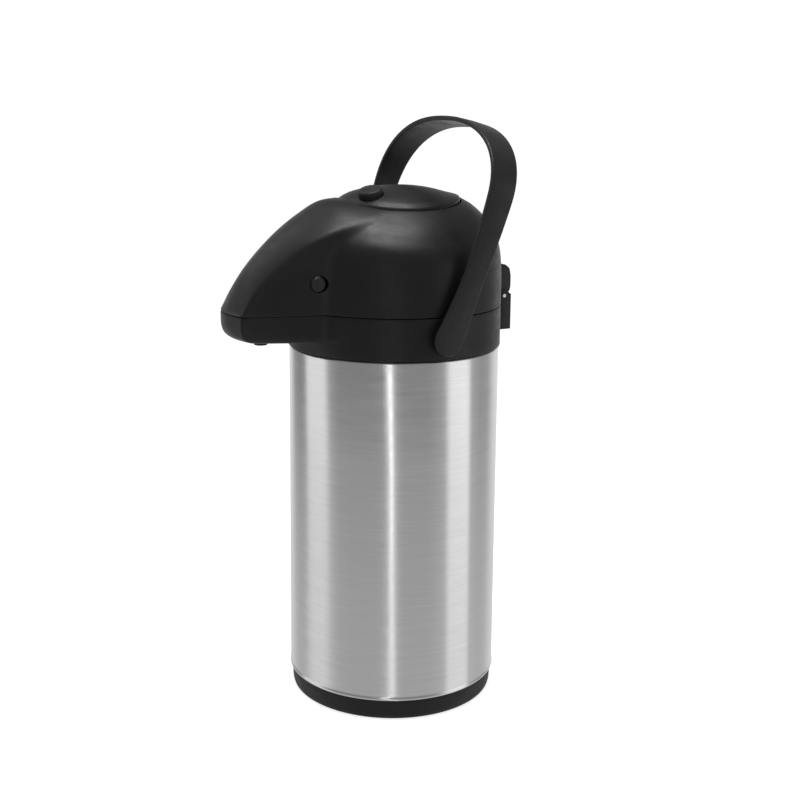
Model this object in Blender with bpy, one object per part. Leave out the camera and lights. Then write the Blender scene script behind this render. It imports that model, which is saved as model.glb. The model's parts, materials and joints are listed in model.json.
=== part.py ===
"""Push-button airpot: steel vacuum flask, pump lid with spout beak, swinging carry handle.

Metres, +Z up. Origin on the floor at the middle of the base. The spout points to -Y,
the lid hinge is at the rear (+Y) and the carry handle turns on the +X and -X sides.
"""
import math

import bmesh
import bpy
from mathutils import Matrix, Vector

for old in list(bpy.data.objects):
    bpy.data.objects.remove(old, do_unlink=True)

# ---- driving dimensions (metres) ------------------------------------------------------
GAP = 0.0003            # clearance between touching pieces
BODY_R = 0.0825         # steel shell, outside
SHEET = 0.0008          # wall of the shell and of the flask
BASE_H = 0.0165         # visible height of the base cap
SHELL_TOP = 0.2805      # where the steel goes in under the collar
SEAM_Z = 0.3124         # parting plane between collar and lid
COLLAR_R = 0.0835
LINER_R = 0.0700        # inner flask, outside
NECK_Z = 0.2950         # rim of the flask's neck
WALL = 0.0023           # moulded wall of the lid, collar and spout tray
CROWN_Z = 0.4045        # top of the push button
HOLE_R = 0.0495         # opening for the push button
BUTTON_R = 0.0486
BUTTON_Y = 0.0020
SADDLE = 2.0            # how fast the lid's crown falls off to the sides, per metre
TILT = 0.05             # slope of the button's rim down towards the beak
HINGE_Y = 0.0965
HINGE_Z = 0.3130
PIN_R = 0.0015
SWING_Y = -0.0025       # axis of the carry handle
SWING_Z = 0.2965
ARM_X = 0.0901          # middle of each handle arm
ARM_T = 0.0042
NOZZLE_Y = -0.1130
RELEASE = (0.0400, -0.0820, 0.3360)
HOOK_Y = (-0.0890, -0.0803)
KNOB = (0.0183, -0.0301, 0.3988)    # where the knob's axis meets the button
KNOB_AXIS = (0.210, -0.247, 0.946)
PLATE_Z = 0.3300        # underside of the plate that carries the bellows
SIDES = 36              # facets of the large round pieces

# ---- materials -------------------------------------------------------------------------


def material(name, colour, roughness, metallic=0.0):
    mat = bpy.data.materials.new(name)
    mat.use_nodes = True
    node = mat.node_tree.nodes["Principled BSDF"]
    node.inputs["Base Color"].default_value = (*colour, 1.0)
    node.inputs["Roughness"].default_value = roughness
    node.inputs["Metallic"].default_value = metallic
    mat.diffuse_color = (*colour, 1.0)
    return mat


STEEL = material("brushed_steel", (0.62, 0.62, 0.62), 0.32, 1.0)
LINER = material("flask_steel", (0.55, 0.55, 0.55), 0.25, 1.0)
BLACK = material("black_moulding", (0.022, 0.022, 0.023), 0.42)
HANDLE_BLACK = material("handle_black", (0.026, 0.026, 0.027), 0.38)
BASE_BLACK = material("base_black", (0.030, 0.030, 0.031), 0.50)
INNER_GREY = material("inner_moulding", (0.10, 0.10, 0.105), 0.50)
RUBBER = material("rubber", (0.045, 0.045, 0.045), 0.85)
SILICONE = material("silicone", (0.62, 0.60, 0.56), 0.55)
TUBE_PLASTIC = material("tube_plastic", (0.70, 0.70, 0.68), 0.35)
WIRE = material("spring_wire", (0.60, 0.60, 0.60), 0.30, 1.0)

# ---- mesh tools ------------------------------------------------------------------------


def make(name, bm, mat, pivot=(0.0, 0.0, 0.0), sharp=32.0):
    """Turn a bmesh in world coordinates into an object whose origin is at pivot."""
    bmesh.ops.recalc_face_normals(bm, faces=bm.faces)
    bmesh.ops.translate(bm, verts=bm.verts, vec=-Vector(pivot))
    mesh = bpy.data.meshes.new(name)
    bm.to_mesh(mesh)
    bm.free()
    mesh.materials.append(mat)
    mesh.shade_smooth()
    mesh.set_sharp_from_angle(angle=math.radians(sharp))
    obj = bpy.data.objects.new(name, mesh)
    obj.location = pivot
    bpy.context.scene.collection.objects.link(obj)
    return obj


def loft(bm, rows, cap=True, ring=False):
    """Skin closed loops of equal length; ring joins the last loop to the first."""
    verts = [[bm.verts.new(p) for p in row] for row in rows]
    count = len(rows[0])
    pairs = list(zip(verts, verts[1:]))
    if ring:
        pairs.append((verts[-1], verts[0]))
    for low, high in pairs:
        for i in range(count):
            j = (i + 1) % count
            bm.faces.new((low[i], low[j], high[j], high[i]))
    if cap and not ring:
        bm.faces.new(list(reversed(verts[0])))
        bm.faces.new(verts[-1])
    return bm


def turned(profile, sides=SIDES, centre=(0.0, 0.0), start=0.0):
    """Revolve a closed (radius, height) profile about a vertical axis."""
    bm = bmesh.new()
    rings = []
    for n, (radius, height) in enumerate(profile):
        if radius < 1e-6:
            beside = (profile[n - 1], profile[(n + 1) % len(profile)])
            flat = any(r > 1e-6 and abs(z - height) < 1e-7 for r, z in beside)
            rings.append([] if flat else [bm.verts.new((centre[0], centre[1], height))])
            continue
        ring = []
        for k in range(sides):
            a = start + 2.0 * math.pi * k / sides
            ring.append(bm.verts.new((centre[0] + radius * math.cos(a),
                                      centre[1] + radius * math.sin(a), height)))
        rings.append(ring)
    total = len(rings)
    for n in range(total):
        one, two = rings[n], rings[(n + 1) % total]
        if len(one) < 2 and len(two) < 2:
            continue
        if not one or not two:
            bm.faces.new(two or one)
            continue
        for k in range(sides):
            m = (k + 1) % sides
            if len(one) == 1:
                bm.faces.new((one[0], two[m], two[k]))
            elif len(two) == 1:
                bm.faces.new((one[k], one[m], two[0]))
            else:
                bm.faces.new((one[k], one[m], two[m], two[k]))
    return bm


def ring_profile(r_in, r_out, low, high):
    return [(r_in, low), (r_out, low), (r_out, high), (r_in, high)]


def disc_profile(radius, low, high):
    return [(0.0, low), (radius, low), (radius, high), (0.0, high)]


def rod(start, axis, radius, length, sides=16):
    """A cylinder from start along a row axis."""
    bm = bmesh.new()
    turn = Vector((0, 0, 1)).rotation_difference(Vector(axis)).to_matrix().to_4x4()
    place = Matrix.Translation(Vector(start)) @ turn
    rows = []
    for z in (0.0, length):
        row = []
        for k in range(sides):
            a = 2.0 * math.pi * k / sides
            row.append(place @ Vector((radius * math.cos(a), radius * math.sin(a), z)))
        rows.append(row)
    return loft(bm, rows)


def block(low, high):
    bm = bmesh.new()
    bmesh.ops.create_cube(bm, size=1.0)
    for v in bm.verts:
        for i in range(3):
            v.co[i] = low[i] if v.co[i] < 0 else high[i]
    return bm


def prism(outline, low, high):
    """Extrude an (x, y) outline between two heights."""
    rows = [[(x, y, z) for x, y in outline] for z in (low, high)]
    return loft(bmesh.new(), rows)


def side_prism(outline, half_width):
    """Extrude a (y, z) outline along X, from -half_width to half_width."""
    rows = [[(x, y, z) for y, z in outline] for x in (-half_width, half_width)]
    return loft(bmesh.new(), rows)


def swept_tube(path, r_out, r_in, sides=10):
    """An open pipe along a path in the plane x = 0."""
    points = [Vector(p) for p in path]
    outer, inner = [], []
    for i, p in enumerate(points):
        tangent = points[min(i + 1, len(points) - 1)] - points[max(i - 1, 0)]
        tangent.normalize()
        across = Vector((1, 0, 0))
        up = tangent.cross(across).normalized()
        for radius, store in ((r_out, outer), (r_in, inner)):
            row = []
            for k in range(sides):
                a = 2.0 * math.pi * k / sides
                row.append(p + radius * (math.cos(a) * across + math.sin(a) * up))
            store.append(row)
    return loft(bmesh.new(), outer + inner[::-1], cap=False, ring=True)


def cutter(bm):
    obj = make("cut", bm, INNER_GREY)
    obj.hide_render = True
    obj.display_type = "WIRE"
    return obj


def combine(obj, other, operation):
    """Boolean obj with a helper; the helper stays as a hidden guide."""
    other.hide_render = True
    other.display_type = "WIRE"
    mod = obj.modifiers.new(operation.lower(), "BOOLEAN")
    mod.operation = operation
    mod.solver = "EXACT"
    mod.object = other


def cut(obj, bm):
    combine(obj, cutter(bm), "DIFFERENCE")


def add(obj, bm):
    combine(obj, cutter(bm), "UNION")


# ---- outline of the beak, seen from above ------------------------------------------------
# Half outline from the tip's middle round the corner and back into the round collar.
BEAK_PLAN = [(0.0000, -0.1400), (0.0110, -0.1392), (0.0180, -0.1375), (0.0225, -0.1335),
             (0.0262, -0.1240), (0.0300, -0.1120), (0.0340, -0.0960), (0.0370, -0.0800),
             (0.0425, -0.0680), (0.0500, -0.0600)]


def plate_outline(radius, inset=0.0, tip=0.0):
    """Round plate and beak as one outline: the beak's sides run into the circle."""
    half = beak_outline(inset, tip)
    half = half[len(half) // 2:]
    right = [half[0]]
    for before, after in zip(half, half[1:]):
        if math.hypot(*after) > radius:
            right.append(after)
            continue
        a, b = math.hypot(*before), math.hypot(*after)
        t = (a - radius) / (a - b)
        right.append((before[0] + (after[0] - before[0]) * t, before[1] + (after[1] - before[1]) * t))
        break
    start = math.atan2(right[-1][1], right[-1][0])
    steps = SIDES // 2
    span = math.pi / 2 - start
    right += [(radius * math.cos(start + span * k / steps), radius * math.sin(start + span * k / steps))
              for k in range(1, steps)]
    left = [(-x, y) for x, y in reversed(right[1:])]
    return right + [(0.0, radius)] + left


def beak_outline(inset=0.0, tip=0.0):
    """Whole outline, counter-clockwise, moved in by inset and by tip more at the front."""
    half = []
    for x, y in BEAK_PLAN:
        front = max(0.0, min(1.0, (-0.085 - y) / 0.050))
        half.append((max(x - inset, 0.0), y + front * (inset + tip)))
    right = half[1:]
    left = [(-x, y) for x, y in reversed(right)]
    return left + [half[0]] + right


# ---- base --------------------------------------------------------------------------------
make("base_cap", turned([
    (0.0, 0.0036), (0.0303, 0.0036), (0.0303, 0.0008), (0.0340, 0.0008), (0.0345, 0.0030),
    (0.0640, 0.0030), (0.0660, 0.0), (0.0780, 0.0), (0.0798, 0.0010), (0.0806, 0.0035),
    (0.0815, 0.0160), (0.0815, 0.0240), (0.0790, 0.0240), (0.0785, 0.0058), (0.0, 0.0062),
]), BASE_BLACK)
make("base_pad", turned(disc_profile(0.0300, 0.0, 0.0032), 28), RUBBER)

# ---- vacuum flask --------------------------------------------------------------------------
make("outer_shell", turned([
    (0.0, 0.0262), (0.0817, 0.0262), (0.0817, 0.0170), (0.0822, 0.0166), (0.0829, 0.0171),
    (0.0829, 0.0181), (BODY_R, 0.0188), (BODY_R, SHELL_TOP - 0.0012),
    (0.0805, SHELL_TOP + 0.0004), (0.0805, 0.2860), (0.0780, 0.2885), (0.0420, 0.2895),
    (0.0390, 0.2905), (0.0386, NECK_Z), (0.0379, NECK_Z), (0.0379, 0.2894), (0.0415, 0.2886),
    (0.0775, 0.2876), (0.0797, 0.2855), (0.0797, SHELL_TOP - 0.0004),
    (BODY_R - SHEET, SHELL_TOP - 0.0022), (BODY_R - SHEET, 0.0270), (0.0, 0.0270),
]), STEEL)
make("flask_wall", turned(ring_profile(LINER_R - SHEET, LINER_R, 0.0340, 0.2556), 28), LINER)
make("flask_floor", turned([
    (0.0, 0.0352), (0.0600, 0.0345), (0.0688, 0.0345), (0.0688, 0.0353), (0.0600, 0.0353),
    (0.0, 0.0360),
], 28), LINER)
make("flask_neck", turned([
    (LINER_R, 0.2559), (0.0660, 0.2680), (0.0450, 0.2790), (0.0376, 0.2870), (0.0376, NECK_Z),
    (0.0368, NECK_Z), (0.0368, 0.2866), (0.0445, 0.2781), (0.0654, 0.2672),
    (LINER_R - SHEET, 0.2559),
], 28), LINER)
make("neck_gasket", turned(ring_profile(0.0395, 0.0423, 0.2912, 0.2948), 24), RUBBER)

# ---- collar with the lower half of the beak ------------------------------------------------
collar = make("collar", turned([
    (COLLAR_R - 0.0004, SHELL_TOP + 0.0006), (COLLAR_R, SHELL_TOP + 0.0012),
    (COLLAR_R, SEAM_Z - 0.0006), (COLLAR_R - 0.0005, SEAM_Z), (0.0811, SEAM_Z),
    (0.0808, SEAM_Z - 0.0010), (0.0808, 0.3025), (0.0790, 0.3008), (0.0445, 0.2986),
    (0.0428, 0.2978), (0.0428, 0.2925), (0.0790, 0.2922), (0.0808, 0.2905),
    (0.0808, SHELL_TOP + 0.0006),
]), BLACK)
tray_rows = []
for z, inset, tip in ((0.2922, 0.0028, 0.0080), (0.2935, 0.0010, 0.0045), (0.2965, 0.0, 0.0018),
                      (0.3015, 0.0, 0.0002), (SEAM_Z - 0.0005, 0.0, 0.0),
                      (SEAM_Z, 0.0005, 0.0)):
    row = beak_outline(inset, tip)
    tray_rows.append([(x, y, z) for x, y in row])
tray = make("tray", loft(bmesh.new(), tray_rows), INNER_GREY)
cut(tray, turned(disc_profile(0.0822, 0.28, 0.33), SIDES))
combine(collar, tray, "UNION")
pocket = make("pocket", prism(beak_outline(WALL, 0.0008), 0.2948, 0.3300), INNER_GREY)
cut(pocket, turned(disc_profile(COLLAR_R + 0.0005, 0.28, 0.34), SIDES))
combine(collar, pocket, "DIFFERENCE")
cut(collar, turned(disc_profile(0.0068, 0.28, 0.30), 24, (0.0, NOZZLE_Y - 0.0003)))
for side in (1, -1):
    lug_low = (min(side * 0.0715, side * 0.0818), SWING_Y - 0.0075, 0.2912)
    lug_high = (max(side * 0.0715, side * 0.0818), SWING_Y + 0.0075, 0.3050)
    add(collar, block(lug_low, lug_high))
    cut(collar, rod((side * 0.0745, SWING_Y, SWING_Z), (side, 0, 0), 0.0044, 0.0150, 16))
    cut(collar, rod((side * 0.0058, 0.0760, 0.2905 + 0.0015), (0, 1, 0), 0.0017, 0.0120, 8))

# ---- rear hinge ------------------------------------------------------------------------------
PIVOT = (0.0, HINGE_Y, HINGE_Z)


def arc(cy, cz, radius, first, last, steps):
    out = []
    for k in range(steps + 1):
        a = math.radians(first + (last - first) * k / steps)
        out.append((cy + radius * math.cos(a), cz + radius * math.sin(a)))
    return out


bracket_side = ([(0.0842, 0.2853), (0.1022, 0.2853), (0.1030, 0.2862), (0.1030, 0.3142)]
                + arc(HINGE_Y, HINGE_Z, 0.0052, 24, 180, 7) + [(0.0842, 0.3090)])
bracket = make("hinge_bracket", side_prism(bracket_side, 0.0100), BLACK, PIVOT)
cut(bracket, block((-0.0074, 0.0900, 0.3060), (0.0074, 0.1200, 0.3300)))
cut(bracket, block((-0.0074, 0.0830, 0.3060), (0.0074, 0.0910, 0.3300)))
cut(bracket, rod((-0.0200, HINGE_Y, HINGE_Z), (1, 0, 0), PIN_R + 0.0003, 0.0400, 16))
leaf_side = (arc(HINGE_Y, HINGE_Z, 0.0052, 205, 375, 7)
             + [(0.1034, 0.3170), (0.1042, 0.3195), (0.1042, 0.3290), (0.1030, 0.3350),
                (0.0990, 0.3382), (0.0935, 0.3390), (0.0842, 0.3390), (0.0842, 0.3180),
                (0.0900, 0.3166)])
leaf = make("hinge_leaf", side_prism(leaf_side, 0.0070), BLACK, PIVOT)
cut(leaf, rod((-0.0200, HINGE_Y, HINGE_Z), (1, 0, 0), PIN_R + 0.0003, 0.0400, 16))
make("hinge_pin", rod((-0.0099, HINGE_Y, HINGE_Z), (1, 0, 0), PIN_R, 0.0198, 16), WIRE, PIVOT)
for n, side in enumerate((1, -1), 1):
    x, z = side * 0.0058, 0.2920
    cut(bracket, rod((x, 0.0830, z), (0, 1, 0), 0.0017, 0.0300, 8))
    cut(bracket, rod((x, 0.1004, z), (0, 1, 0), 0.0031, 0.0100, 12))
    screw = make("bracket_screw_%d" % n, rod((x, 0.0815, z), (0, 1, 0), 0.0014, 0.0195, 8), WIRE)
    add(screw, rod((x, 0.1007, z), (0, 1, 0), 0.0028, 0.0018, 12))

# ---- stopper and dip tube ---------------------------------------------------------------------
stopper = make("stopper", turned([
    (0.0053, 0.2840), (0.0355, 0.2840), (0.0355, 0.2970), (0.0405, 0.2970), (0.0405, 0.2990),
    (0.0335, 0.2990), (0.0335, 0.2862), (0.0085, 0.2862), (0.0085, 0.2995), (0.0053, 0.2995),
], 24), INNER_GREY)
for k in range(4):
    a = math.radians(45 + 90 * k)
    cut(stopper, turned(disc_profile(0.0035, 0.28, 0.29), 12,
                        (0.021 * math.cos(a), 0.021 * math.sin(a))))
make("stopper_seal", turned(ring_profile(0.0374, 0.0405, 0.2953, 0.2967), 24), SILICONE)
make("dip_tube", turned(ring_profile(0.0038, 0.0050, 0.0440, 0.2990), 16), TUBE_PLASTIC)

# ---- carry handle -----------------------------------------------------------------------------
ARM_BEND_Z = 0.3957     # the arms run straight up to here, then close over the top
ARM_TOP_Z = 0.4530
ARM_POWER = 2.32        # squareness of the top bend


def arm_lean(z):
    """Middle of the band in side view, and its slope, at height z."""
    h = z - 0.35
    return 0.0210 + 0.40 * h - 0.82 * h * h, 0.40 - 1.64 * h


def arm_half(z):
    """Half width of the band: narrow waist, wider grip and wider foot."""
    if z > 0.345:
        return 0.0088 + 0.035 * (z - 0.345)
    return 0.0088 + 0.0027 * ((0.345 - z) / (0.345 - SWING_Z)) ** 1.5


def handle_rows():
    foot = arm_half(SWING_Z)
    path = []
    for k in range(6):
        a = math.radians(82 - 82 * k / 5)
        path.append((ARM_X, SWING_Z, -foot * math.sin(a), foot * math.cos(a)))
    for k in range(1, 8):
        z = SWING_Z + (ARM_BEND_Z - SWING_Z) * k / 7
        path.append((ARM_X, z, 0.0, arm_half(z)))
    for k in range(1, 11):
        t = math.radians(90.0 * k / 10)
        x = ARM_X * max(math.cos(t), 0.0) ** (2 / ARM_POWER)
        z = ARM_BEND_Z + (ARM_TOP_Z - ARM_BEND_Z) * math.sin(t) ** (2 / ARM_POWER)
        path.append((x, z, 0.0, arm_half(z)))
    path += [(-x, z, s, b) for x, z, s, b in reversed(path[:-1])]
    rows = []
    for i, (x, z, slide, half) in enumerate(path):
        before, after = path[max(i - 1, 0)], path[min(i + 1, len(path) - 1)]
        tx, tz = after[0] - before[0], (after[1] + after[2]) - (before[1] + before[2])
        size = math.hypot(tx, tz) or 1.0
        nx, nz = -tz / size, tx / size
        y, slope = arm_lean(z)
        norm = math.hypot(1.0, slope)
        mid = Vector((x, y + slide * slope / norm, z + slide / norm))
        wide = Vector((0.0, 1.0 / norm, -slope / norm))
        thick = Vector((nx, 0.0, nz)) * (ARM_T / 2)
        soft = min(0.0012, half * 0.4)
        rows.append([mid + wide * (half - soft) + thick, mid + wide * half + thick * 0.45,
                     mid + wide * half - thick * 0.45, mid + wide * (half - soft) - thick,
                     mid - wide * (half - soft) - thick, mid - wide * half - thick * 0.45,
                     mid - wide * half + thick * 0.45, mid - wide * (half - soft) + thick])
    return rows


SWING = (0.0, SWING_Y, SWING_Z)
handle = make("carry_handle", loft(bmesh.new(), handle_rows()), HANDLE_BLACK, SWING)
for side in (1, -1):
    add(handle, rod((side * 0.0757, SWING_Y, SWING_Z), (side, 0, 0), 0.0040, 0.0140, 16))

# ---- lid shell ---------------------------------------------------------------------------------
LID_LOW = SEAM_Z + 0.0003


def saddle(bm, above=0.0, tilt=TILT):
    """Let the crown fall off towards the sides, and the button's rim towards the beak."""
    for v in bm.verts:
        if v.co.z < above:
            continue
        t = max(0.0, min(1.0, (v.co.z - 0.325) / 0.071))
        rim = max(0.0, min(1.0, (v.co.z - 0.368) / 0.020))
        v.co.z += tilt * (v.co.y - BUTTON_Y) * rim - SADDLE * v.co.x * v.co.x * t
    return bm


DOME = [(COLLAR_R, LID_LOW), (COLLAR_R, 0.3304), (0.0832, 0.3439), (0.0824, 0.3542),
        (0.0806, 0.3626), (0.0775, 0.3695), (0.0730, 0.3760), (0.0680, 0.3815),
        (0.0615, 0.3867), (0.0550, 0.3907), (HOLE_R, 0.3934)]
BEAK_TOP = [(-0.0300, 0.3935), (-0.0470, 0.3942), (-0.0620, 0.3930), (-0.0780, 0.3865),
            (-0.0930, 0.3775), (-0.1060, 0.3670), (-0.1170, 0.3560), (-0.1260, 0.3440),
            (-0.1330, 0.3310), (-0.1380, 0.3180), (-0.1400, LID_LOW)]
BEAK_RIDGE = [(0.0400, -0.0250, 0.3860), (0.0455, -0.0380, 0.3850), (0.0440, -0.0530, 0.3820),
              (0.0405, -0.0700, 0.3765), (0.0370, -0.0860, 0.3690), (0.0335, -0.0990, 0.3600),
              (0.0300, -0.1110, 0.3500), (0.0268, -0.1215, 0.3395), (0.0240, -0.1300, 0.3290),
              (0.0218, -0.1352, 0.3200), (0.0205, -0.1368, LID_LOW)]
BEAK_FOOT = [(0.0400, -0.0250), (0.0480, -0.0400), (0.0500, -0.0600), (0.0425, -0.0680),
             (0.0370, -0.0800), (0.0340, -0.0960), (0.0300, -0.1120), (0.0268, -0.1225),
             (0.0242, -0.1300), (0.0220, -0.1352), (0.0205, -0.1368)]


def beak_solid(inset=0.0, drop=0.0):
    """Loft of the upper beak. Each row runs from the left foot over the ridge and crown to
    the right foot. With an inset it is the hollow inside, carried down by drop."""
    low = LID_LOW - drop
    grid = []
    last = len(BEAK_TOP) - 1
    for i, (top, ridge, foot) in enumerate(zip(BEAK_TOP, BEAK_RIDGE, BEAK_FOOT)):
        ahead = min(1.0, i / last * 1.25)
        ty, tz = top[0] + inset * ahead, top[1] - inset * (1.25 - 0.95 * ahead)
        rx, ry, rz = ridge[0] - inset, ridge[1] + inset * ahead, ridge[2] - inset * 0.8
        fx, fy = foot[0] - inset, foot[1] + inset * ahead
        if i == last:
            tz = rz = low
        half = []
        for k in range(1, 5):
            s = k / 4
            half.append((rx * s, ty + (ry - ty) * s * s, tz + (rz - tz) * s * s))
        side_pts = []
        for k in range(1, 3):
            t = k / 2
            bulge = 0.0012 * math.sin(math.pi * t)
            side_pts.append((rx + (fx - rx) * t + bulge, ry + (fy - ry) * t,
                             max(rz + (low - rz) * t, low)))
        right = half + side_pts
        left = [(-x, y, z) for x, y, z in reversed(right)]
        grid.append(left + [(0.0, ty, tz)] + right)
    bm = bmesh.new()
    rows = [[bm.verts.new(p) for p in row] for row in grid]
    for one, two in zip(rows, rows[1:]):
        for j in range(len(one) - 1):
            bm.faces.new((one[j], one[j + 1], two[j + 1], two[j]))
    bm.faces.new(rows[0])
    bottom = [row[-1] for row in rows] + rows[-1][-2:0:-1] + [row[0] for row in rows[::-1]]
    bm.faces.new(bottom)
    bmesh.ops.remove_doubles(bm, verts=bm.verts, dist=1e-6)
    bmesh.ops.dissolve_degenerate(bm, edges=bm.edges, dist=1e-6)
    return bm


dome_out = [(0.0, LID_LOW)] + DOME + [(0.0, 0.3975)]
dome_in = [(0.0, LID_LOW - 0.01), (DOME[0][0] - WALL, LID_LOW - 0.01)]
dome_in += [(r - WALL * (1.0 if z < 0.365 else 0.72), z - WALL * (0.0 if z < 0.345 else 0.75))
            for r, z in DOME[1:-1]]
dome_in += [(0.0, 0.3880)]
lid = make("lid_shell", saddle(turned(dome_out)), BLACK, PIVOT)
add(lid, saddle(beak_solid(), tilt=0.0))
cut(lid, saddle(turned(dome_in)))
cut(lid, saddle(beak_solid(WALL, 0.004), tilt=0.0))
cut(lid, turned(disc_profile(HOLE_R, 0.3600, 0.4200), SIDES, (0.0, BUTTON_Y), math.pi / SIDES))
add(lid, saddle(turned(ring_profile(HOLE_R + 0.0003, HOLE_R + 0.0022, 0.3680, 0.3913), SIDES,
                       (0.0, BUTTON_Y), math.pi / SIDES), 0.39))
for side in (1, -1):
    cut(lid, rod((side * 0.0250, RELEASE[1], RELEASE[2]), (side, 0, 0), 0.0064, 0.0250, 16))

# ---- lid base, seals and liquid path -------------------------------------------------------------
lid_base = make("lid_base", prism(plate_outline(0.0804, WALL + 0.0006, 0.0012), 0.3132, 0.3156),
                INNER_GREY, PIVOT)
add(lid_base, turned(ring_profile(0.0352, 0.0395, 0.3063, 0.3140), 24))
posts = []
for sx in (1, -1):
    for sy in (1, -1):
        posts.append((sx * 0.0290, BUTTON_Y + sy * 0.0290))
for x, y in posts:
    add(lid_base, turned(disc_profile(0.0036, 0.3150, PLATE_Z - GAP), 10, (x, y), 0.21))
    cut(lid_base, turned(disc_profile(0.0017, 0.3190, 0.3400), 8, (x, y), 0.13))
cut(lid_base, turned(disc_profile(0.0050, 0.30, 0.32), 14))
cut(lid_base, turned(disc_profile(0.0050, 0.30, 0.32), 14, (0.0, NOZZLE_Y)))
cut(lid_base, turned(disc_profile(0.0044, 0.30, 0.32), 16, (0.0, 0.0220)))
for side in (1, -1):
    slot = sorted((side * 0.0246, side * 0.0307))
    cut(lid_base, block((slot[0], HOOK_Y[0] - 0.0008, 0.31), (slot[1], HOOK_Y[1] + 0.0008, 0.32)))
make("lid_seal", turned(ring_profile(0.0350, 0.0398, 0.2993, 0.3060), 24), SILICONE, PIVOT)

bend = 0.0070
pipe_z = 0.3228
pipe_path = [(0.0, 0.0, 0.3024), (0.0, 0.0, pipe_z - bend)]
for k in range(1, 5):
    a = math.radians(90.0 * k / 4)
    pipe_path.append((0.0, -bend + bend * math.cos(a), pipe_z - bend + bend * math.sin(a)))
for k in range(0, 5):
    a = math.radians(90.0 * k / 4)
    pipe_path.append((0.0, NOZZLE_Y + bend - bend * math.sin(a), pipe_z - bend + bend * math.cos(a)))
pipe_path.append((0.0, NOZZLE_Y, 0.3030))
make("spout_pipe", swept_tube(pipe_path, 0.0045, 0.0033), TUBE_PLASTIC, PIVOT)
make("outlet_seal", turned(ring_profile(0.0036, 0.0075, 0.2998, 0.3020), 18), SILICONE, PIVOT)
make("spout_nozzle", turned([
    (0.0048, 0.3126), (0.0085, 0.3126), (0.0085, 0.3106), (0.0060, 0.3100), (0.0055, 0.2900),
    (0.0050, 0.2875), (0.0036, 0.2875), (0.0036, 0.3020), (0.0048, 0.3026),
], 16, (0.0, NOZZLE_Y)), BLACK, PIVOT)

# ---- air pump -----------------------------------------------------------------------------------
plate = make("pump_plate", turned([
    (0.0, PLATE_Z), (0.0460, PLATE_Z), (0.0460, PLATE_Z + 0.0022), (0.0362, PLATE_Z + 0.0022),
    (0.0362, PLATE_Z + 0.0050), (0.0345, PLATE_Z + 0.0050), (0.0345, PLATE_Z + 0.0022),
    (0.0, PLATE_Z + 0.0022),
], 24, (0.0, BUTTON_Y)), INNER_GREY, PIVOT)
for n, (x, y) in enumerate(posts, 1):
    cut(plate, turned(disc_profile(0.0018, 0.32, 0.34), 8, (x, y), 0.13))
    make("pump_screw_%d" % n, turned([
        (0.0, 0.3200), (0.0014, 0.3200), (0.0014, PLATE_Z + 0.0025), (0.0028, PLATE_Z + 0.0025),
        (0.0028, PLATE_Z + 0.0043), (0.0, PLATE_Z + 0.0043),
    ], 8, (x, y)), WIRE, PIVOT)
cut(plate, turned(disc_profile(0.0044, 0.32, 0.34), 16, (0.0, 0.0220)))
make("air_duct", turned(ring_profile(0.0026, 0.0041, 0.3134, PLATE_Z + 0.0018), 16,
                        (0.0, 0.0220)), INNER_GREY, PIVOT)
make("check_valve", turned([
    (0.0, 0.3106), (0.0068, 0.3112), (0.0070, 0.3122), (0.0014, 0.3128), (0.0012, 0.3210),
    (0.0, 0.3215),
], 16, (0.0, 0.0220)), SILICONE, PIVOT)

BELLOWS_LOW = PLATE_Z + 0.0025
BELLOWS_HIGH = 0.3848
FOLDS = 4
folds = []
for k in range(2 * FOLDS + 1):
    radius = 0.0335 if k % 2 == 0 else 0.0255
    folds.append((radius, BELLOWS_LOW + (BELLOWS_HIGH - BELLOWS_LOW) * k / (2 * FOLDS)))
inner_folds = [(r - 0.0012, z) for r, z in reversed(folds)]
make("bellows", turned(folds + inner_folds, 20, (0.0, BUTTON_Y)), RUBBER)

SPRING_R = 0.0170
SPRING_WIRE = 0.0009
SPRING_TURNS = 5
spring_low = BELLOWS_LOW + SPRING_WIRE + 0.0002
spring_high = BELLOWS_HIGH - SPRING_WIRE - 0.0002
coil = []
for k in range(SPRING_TURNS * 12 + 1):
    a = 2.0 * math.pi * k / 12
    z = spring_low + (spring_high - spring_low) * k / (SPRING_TURNS * 12)
    out = Vector((math.cos(a), math.sin(a), 0.0))
    mid = Vector((0.0, BUTTON_Y, z)) + out * SPRING_R
    coil.append([mid + SPRING_WIRE * (math.cos(b) * out + math.sin(b) * Vector((0, 0, 1)))
                 for b in (math.radians(90 * j) for j in range(4))])
make("return_spring", loft(bmesh.new(), coil), WIRE)

# ---- push button ----------------------------------------------------------------------------------
BUTTON = (0.0, BUTTON_Y, CROWN_Z)
CAP = [(0.0, CROWN_Z), (0.0120, 0.4041), (0.0240, 0.4026), (0.0350, 0.4001), (0.0430, 0.3974),
       (0.0476, 0.3950), (BUTTON_R, 0.3936)]
cap_in = [(0.0466, 0.3700), (0.0466, 0.3895), (0.0380, 0.3940), (0.0240, 0.3985), (0.0, 0.4012)]


def crown_fall(bm):
    """The button's top follows the lid: down towards the sides, its edge down to the beak."""
    for v in bm.verts:
        t = max(0.0, min(1.0, (v.co.z - 0.3760) / 0.010))
        edge = max(0.0, (math.hypot(v.co.x, v.co.y - BUTTON_Y) - 0.034) / (BUTTON_R - 0.034))
        v.co.z += (TILT * (v.co.y - BUTTON_Y) * edge * edge - SADDLE * v.co.x * v.co.x) * t
    return bm


def on_knob_axis(bm):
    """Carry a piece from the origin to the lock knob's place, +Z along its axis."""
    turn = Vector((0, 0, 1)).rotation_difference(Vector(KNOB_AXIS)).to_matrix().to_4x4()
    bmesh.ops.transform(bm, matrix=Matrix.Translation(Vector(KNOB)) @ turn, verts=bm.verts)
    return bm


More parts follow.
